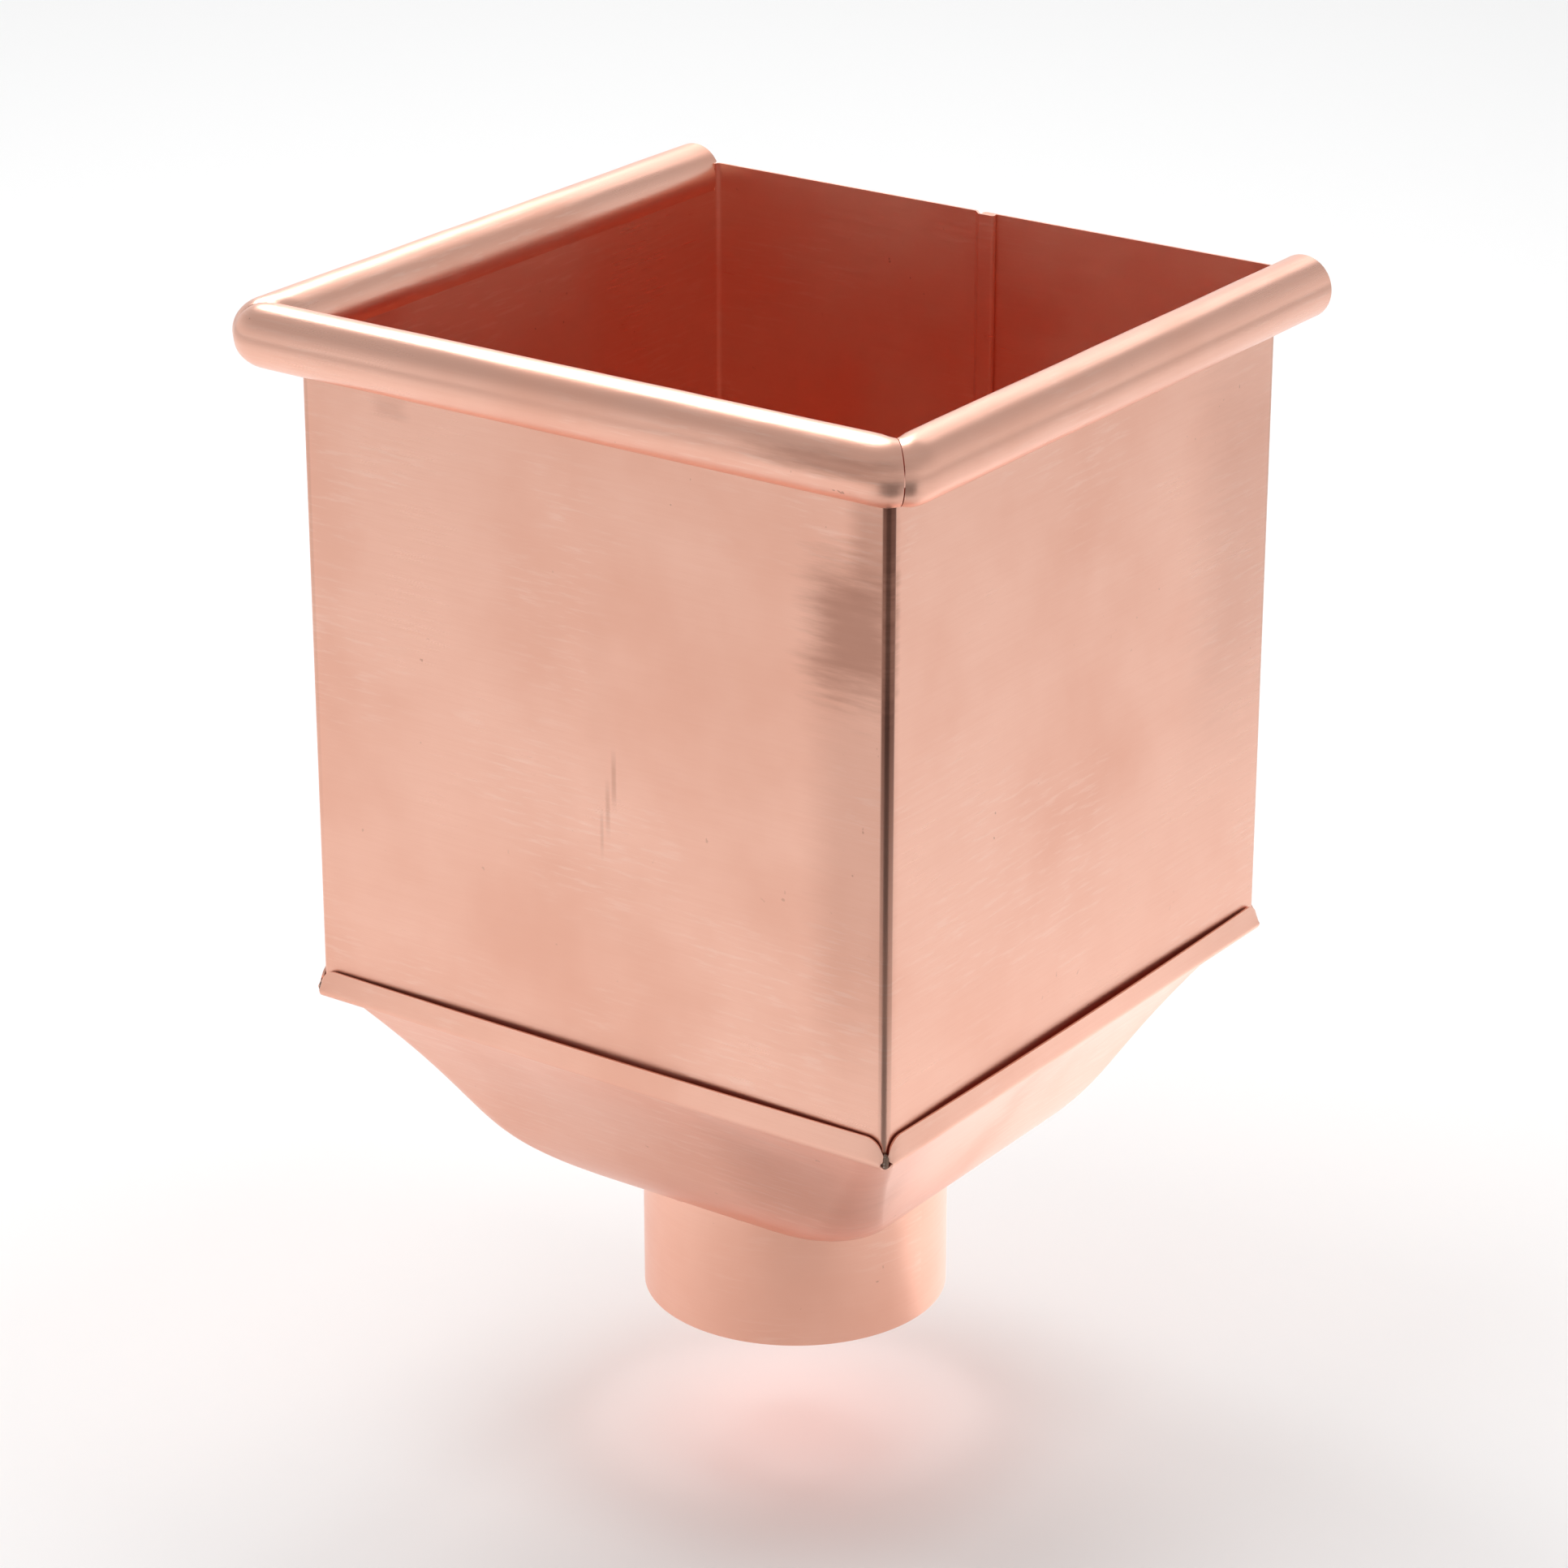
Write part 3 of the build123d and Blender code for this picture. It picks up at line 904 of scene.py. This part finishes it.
# %% Lips round the box
def make_round_tree(name, material):
    tree = bpy.data.node_groups.new(name, "GeometryNodeTree")
    tree.interface.new_socket("Strip", in_out="INPUT", socket_type="NodeSocketGeometry")
    sides = tree.interface.new_socket("Sides", in_out="INPUT", socket_type="NodeSocketInt")
    sides.default_value = 4
    tree.interface.new_socket("Strips", in_out="OUTPUT", socket_type="NodeSocketGeometry")
    source = tree.nodes.new("NodeGroupInput").outputs
    points = tree.nodes.new("GeometryNodePoints")
    tree.links.new(source["Sides"], points.inputs["Count"])
    index = tree.nodes.new("GeometryNodeInputIndex")
    step = calc(tree, "DIVIDE", 2 * math.pi, source["Sides"])
    turn = tree.nodes.new("ShaderNodeCombineXYZ")
    tree.links.new(calc(tree, "MULTIPLY", index.outputs[0], step), turn.inputs["Z"])
    copies = tree.nodes.new("GeometryNodeInstanceOnPoints")
    tree.links.new(points.outputs[0], copies.inputs["Points"])
    tree.links.new(source["Strip"], copies.inputs["Instance"])
    tree.links.new(turn.outputs[0], copies.inputs["Rotation"])
    real = tree.nodes.new("GeometryNodeRealizeInstances")
    tree.links.new(copies.outputs["Instances"], real.inputs["Geometry"])
    paint = tree.nodes.new("GeometryNodeSetMaterial")
    paint.inputs["Material"].default_value = material
    tree.links.new(real.outputs["Geometry"], paint.inputs["Geometry"])
    target = tree.nodes.new("NodeGroupOutput")
    tree.links.new(paint.outputs["Geometry"], target.inputs["Strips"])
    return tree


def run_on(mesh, tree):
    holder = new_piece(mesh.name, mesh)
    modifier = holder.modifiers.new(tree.name, "NODES")
    modifier.node_group = tree
    result = plain_mesh(holder)
    bpy.data.objects.remove(holder)
    return result


lips = run_on(lip, make_round_tree("lips round the box", funnel_copper))
funnel_bottom = joined("copper_funnel", [funnel_sheet, lips], merge=0.00002)
thicken(funnel_bottom)
dress(funnel_bottom, ["funnel_bottom"], funnel_copper)

# %% [markdown]
# The outlet pipe is a short tube that runs up to the funnel all round. The funnel isn't quite round there, so
# the height where the two meet is worked out for every direction. Above it the pipe is drawn in a little and
# stands in the funnel's hole.

# %% Where the pipe meets the funnel
def funnel_reach(t, angle):
    """How far from the axis the funnel's underside is at this level, in this direction."""
    width = side_point(t)[0].x
    radius = hip_radius(width)
    across, along_side = sorted((abs(math.cos(angle)), abs(math.sin(angle))), reverse=True)
    flat = width - radius
    if along_side * width <= flat * across:
        return width / across
    toward_hip = flat * (across + along_side)
    return toward_hip + math.sqrt(toward_hip ** 2 - 2 * flat ** 2 + radius ** 2)


def meeting_height(angle):
    low, high = 0.5, 1.0
    for _ in range(40):
        middle = (low + high) / 2
        if funnel_reach(middle, angle) > pipe_radius:
            low = middle
        else:
            high = middle
    return side_point(low)[0].y


AROUND = 128
pipe_angles = [2 * math.pi * k / AROUND for k in range(AROUND)]
meeting = [meeting_height(angle) for angle in pipe_angles]
print(f"the pipe meets the funnel between {min(meeting) * 1000:.1f} and {max(meeting) * 1000:.1f} mm")

# %% Outlet pipe
NECK_STEP = 0.0008
pipe_mid = pipe_radius - sheet / 2
neck_mid = pipe_mid - NECK_STEP
PIPE_ROWS = 10


def make_pipe():
    rows, flat_rows = [], []
    for step in range(PIPE_ROWS + 3):
        row, flat_row = [], []
        for angle, top in zip(pipe_angles, meeting):
            radius = pipe_mid if step <= PIPE_ROWS else neck_mid
            height = top * min(step / PIPE_ROWS, 1.0)
            if step > PIPE_ROWS:
                height = top + NECK_STEP
            if step > PIPE_ROWS + 1:
                height = max(pipe_high[2] - 0.0012, top + 2 * NECK_STEP)
            row.append((radius * math.cos(angle), radius * math.sin(angle), height))
            flat_row.append((pipe_mid * angle, height))
        rows.append(row)
        flat_rows.append(flat_row + [(pipe_mid * 2 * math.pi, flat_row[0][1])])
    return grid_mesh("pipe", rows, flat_rows, closed=True)


outlet_pipe = new_piece("copper_pipe", make_pipe())
thicken(outlet_pipe)
dress(outlet_pipe, ["outlet_pipe"], pipe_copper)

# %% [markdown]
# Solder closes the slot between two lips at each corner. It set as a small lumpy drop, so one drop is drawn as
# a ball pushed out and in by noise, and the tree that placed the lips places it at the four corners. The solder
# ring round the outlet keeps its CAD shape and only gets its dull grey finish.

# %% Solder drops
DROP_PLACE = 0.10790
DROP_HEIGHT = ledge_mid + 0.0021
DROP_SIZE = Vector((0.0017, 0.0017, 0.0027))
LUMP_SIZE = 900.0
LUMP_SHARE = 0.16


def make_drop():
    work = bmesh.new()
    bmesh.ops.create_icosphere(work, subdivisions=4, radius=1.0)
    for vertex in work.verts:
        spot = vertex.co.copy()
        lump = hills.noise(Vector(spot * DROP_SIZE) * LUMP_SIZE)
        vertex.co = spot * DROP_SIZE * (1 - LUMP_SHARE / 2 + LUMP_SHARE * lump / 2)
        vertex.co += Vector((DROP_PLACE, -DROP_PLACE, DROP_HEIGHT))
    mesh = bpy.data.meshes.new("solder drop")
    work.to_mesh(mesh)
    work.free()
    return mesh


drops = run_on(make_drop(), make_round_tree("drops at the corners", burnt_tin))
for polygon in drops.polygons:
    polygon.use_smooth = True
corner_solder = new_piece("corner_solder", drops)
corner_nodes = sorted(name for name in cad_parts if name.endswith("_solder") and name != "outlet_solder")
dress(corner_solder, corner_nodes, burnt_tin)

# %% Solder ring
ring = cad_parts["outlet_solder"]
ring.data.materials.clear()
ring.data.materials.append(tin)
print("finished", ring.name)

# %% [markdown]
# The stage is a wide pale floor below the box and a large soft light overhead. A second soft light keeps the
# far floor white. Metal shows what surrounds it: its walls mirror the floor, its beads mirror the soft light
# and the dimmer room between the two. The camera's side is darker, which draws the dark line down the near
# bend, and painted reflection in the walls' colour makes that line darker still. A black flag lies there, and only
# mirror rays can see it.

# %% Floor
FLOOR_DROP = 0.056


def plain_surface(name, shade):
    material = bpy.data.materials.new(name)
    material.use_nodes = True
    surface = material.node_tree.nodes["Principled BSDF"]
    surface.inputs["Roughness"].default_value = 0.9
    surface.inputs["Specular IOR Level"].default_value = 0.0
    surface.inputs["Base Color"].default_value = (shade, shade, shade, 1.0)
    return material


def stage_sheet(name, corners, height, material):
    mesh = bpy.data.meshes.new(name)
    mesh.from_pydata([(x, y, height) for x, y in corners], [], [(0, 1, 2, 3)])
    mesh.materials.append(material)
    stage_piece = new_piece(name, mesh)
    return stage_piece


REACH = 14.0
floor_corners = [(-REACH, -REACH), (REACH, -REACH), (REACH, REACH), (-REACH, REACH)]
stage_sheet("floor", floor_corners, -FLOOR_DROP, plain_surface("pale_floor", 0.9))

FLAG_NEAR, FLAG_FAR = 0.36, 1.7
FLAG_FROM, FLAG_TO = math.radians(10), math.radians(68)


def from_above(angle, distance):
    """Place on the floor at this angle from the front, turning towards the right."""
    return (distance * math.sin(angle), -distance * math.cos(angle))


flag_corners = [from_above(FLAG_FROM, FLAG_NEAR), from_above(FLAG_FROM, FLAG_FAR),
                from_above(FLAG_TO, FLAG_FAR), from_above(FLAG_TO, FLAG_NEAR)]
flag = stage_sheet("flag", flag_corners, 0.002 - FLOOR_DROP, plain_surface("dark_flag", 0.22))
flag.visible_camera = False
flag.visible_diffuse = False
flag.visible_shadow = False
print("floor and flag laid")


# %% Light
def soft_light(name, place, aim, size, brightness):
    data = bpy.data.lights.new(name, "AREA")
    data.shape = "RECTANGLE"
    data.size, data.size_y = size
    data.energy = math.pi * size[0] * size[1] * brightness
    lamp = bpy.data.objects.new(name, data)
    lamp.location = place
    lamp.rotation_euler = (Vector(aim) - Vector(place)).to_track_quat("-Z", "Y").to_euler()
    bpy.context.scene.collection.objects.link(lamp)
    return lamp


key = soft_light("key", (-0.85, 0.68, 1.44), (0.0, 0.0, 0.25), (0.7, 0.7), 8.0)
card = soft_light("card", (0.10, 0.24, -0.05), (0.10, 0.24, 1.0), (0.34, 0.34), 0.4)
card.visible_camera = False
back = soft_light("back", (-0.55, 1.55, 1.45), (0.0, 0.0, 0.30), (1.3, 0.8), 1.0)
for lamp in (key, card, back):
    lamp.visible_diffuse = False
RING_CENTRE = Vector((-0.17, 0.25, 1.5))
RING_REACH = 0.68
floor_lights = [soft_light("far floor", (-1.3, 1.6, 1.8), (-1.3, 1.6, 0.0), (3.0, 3.0), 0.8),
                soft_light("front floor", (-0.8, -0.9, 1.8), (-0.8, -0.9, 0.0), (1.6, 1.6), 0.6)]
for quarter in range(4):
    angle = quarter * math.pi / 2
    over = RING_CENTRE + RING_REACH * Vector((math.cos(angle), math.sin(angle), 0.0))
    under = Vector((over.x, over.y, 0.0))
    floor_lights.append(soft_light(f"ring {quarter + 1}", over, under, (0.5, 0.5), 3.9))
for lamp in floor_lights:
    lamp.visible_glossy = False
glow = soft_light("copper glow", (0.0, 0.0, -0.001), (0.0, 0.0, -1.0), (0.08, 0.08), 0.8)
glow.data.color = (1.0, 0.22, 0.08)
glow.visible_glossy = False
glow.visible_camera = False


def make_sky():
    world = bpy.data.worlds.new("studio")
    bpy.context.scene.world = world
    world.use_nodes = True
    tree = world.node_tree
    sky = tree.nodes["Background"]
    direction = tree.nodes.new("ShaderNodeTexCoord")
    split = tree.nodes.new("ShaderNodeSeparateXYZ")
    tree.links.new(direction.outputs["Generated"], split.inputs[0])
    ramp = tree.nodes.new("ShaderNodeValToRGB")
    shades = ramp.color_ramp.elements
    shades[0].position, shades[1].position = 0.0, 1.0
    for position, shade in ((0.15, 0.82), (0.6, 0.5)):
        shades.new(position).color = (shade, shade, shade, 1.0)
    shades[0].color = (0.95, 0.95, 0.95, 1.0)
    shades[-1].color = (0.55, 0.55, 0.55, 1.0)
    tree.links.new(split.outputs["Z"], ramp.inputs["Fac"])
    tree.links.new(ramp.outputs["Color"], sky.inputs["Color"])


make_sky()
bpy.context.scene.view_settings.view_transform = "Standard"
bpy.context.scene.cycles.glossy_bounces = 12
bpy.context.scene.cycles.max_bounces = 16
print("lights set")

# %% [markdown]
# The camera stands at the photo's place, in front of the near corner and above it, with a long lens.

# %% Camera
AZIMUTH, ELEVATION = math.radians(35.13), math.radians(22.19)
DISTANCE = 1.5742
PHOTO_SIDE = 1932
FOCAL_PIXELS = 6078.8
target = Vector((-0.00307, -0.00216, 0.17565))
toward = Vector((math.sin(AZIMUTH) * math.cos(ELEVATION), -math.cos(AZIMUTH) * math.cos(ELEVATION),
                 math.sin(ELEVATION)))
lens = bpy.data.cameras.new("photo camera")
lens.sensor_width = 36.0
lens.lens = lens.sensor_width * FOCAL_PIXELS / PHOTO_SIDE
camera = bpy.data.objects.new("photo camera", lens)
camera.location = target + toward * DISTANCE
camera.rotation_euler = (-toward).to_track_quat("-Z", "Y").to_euler()
bpy.context.scene.collection.objects.link(camera)
bpy.context.scene.camera = camera
print("camera at", [round(value, 3) for value in camera.location])
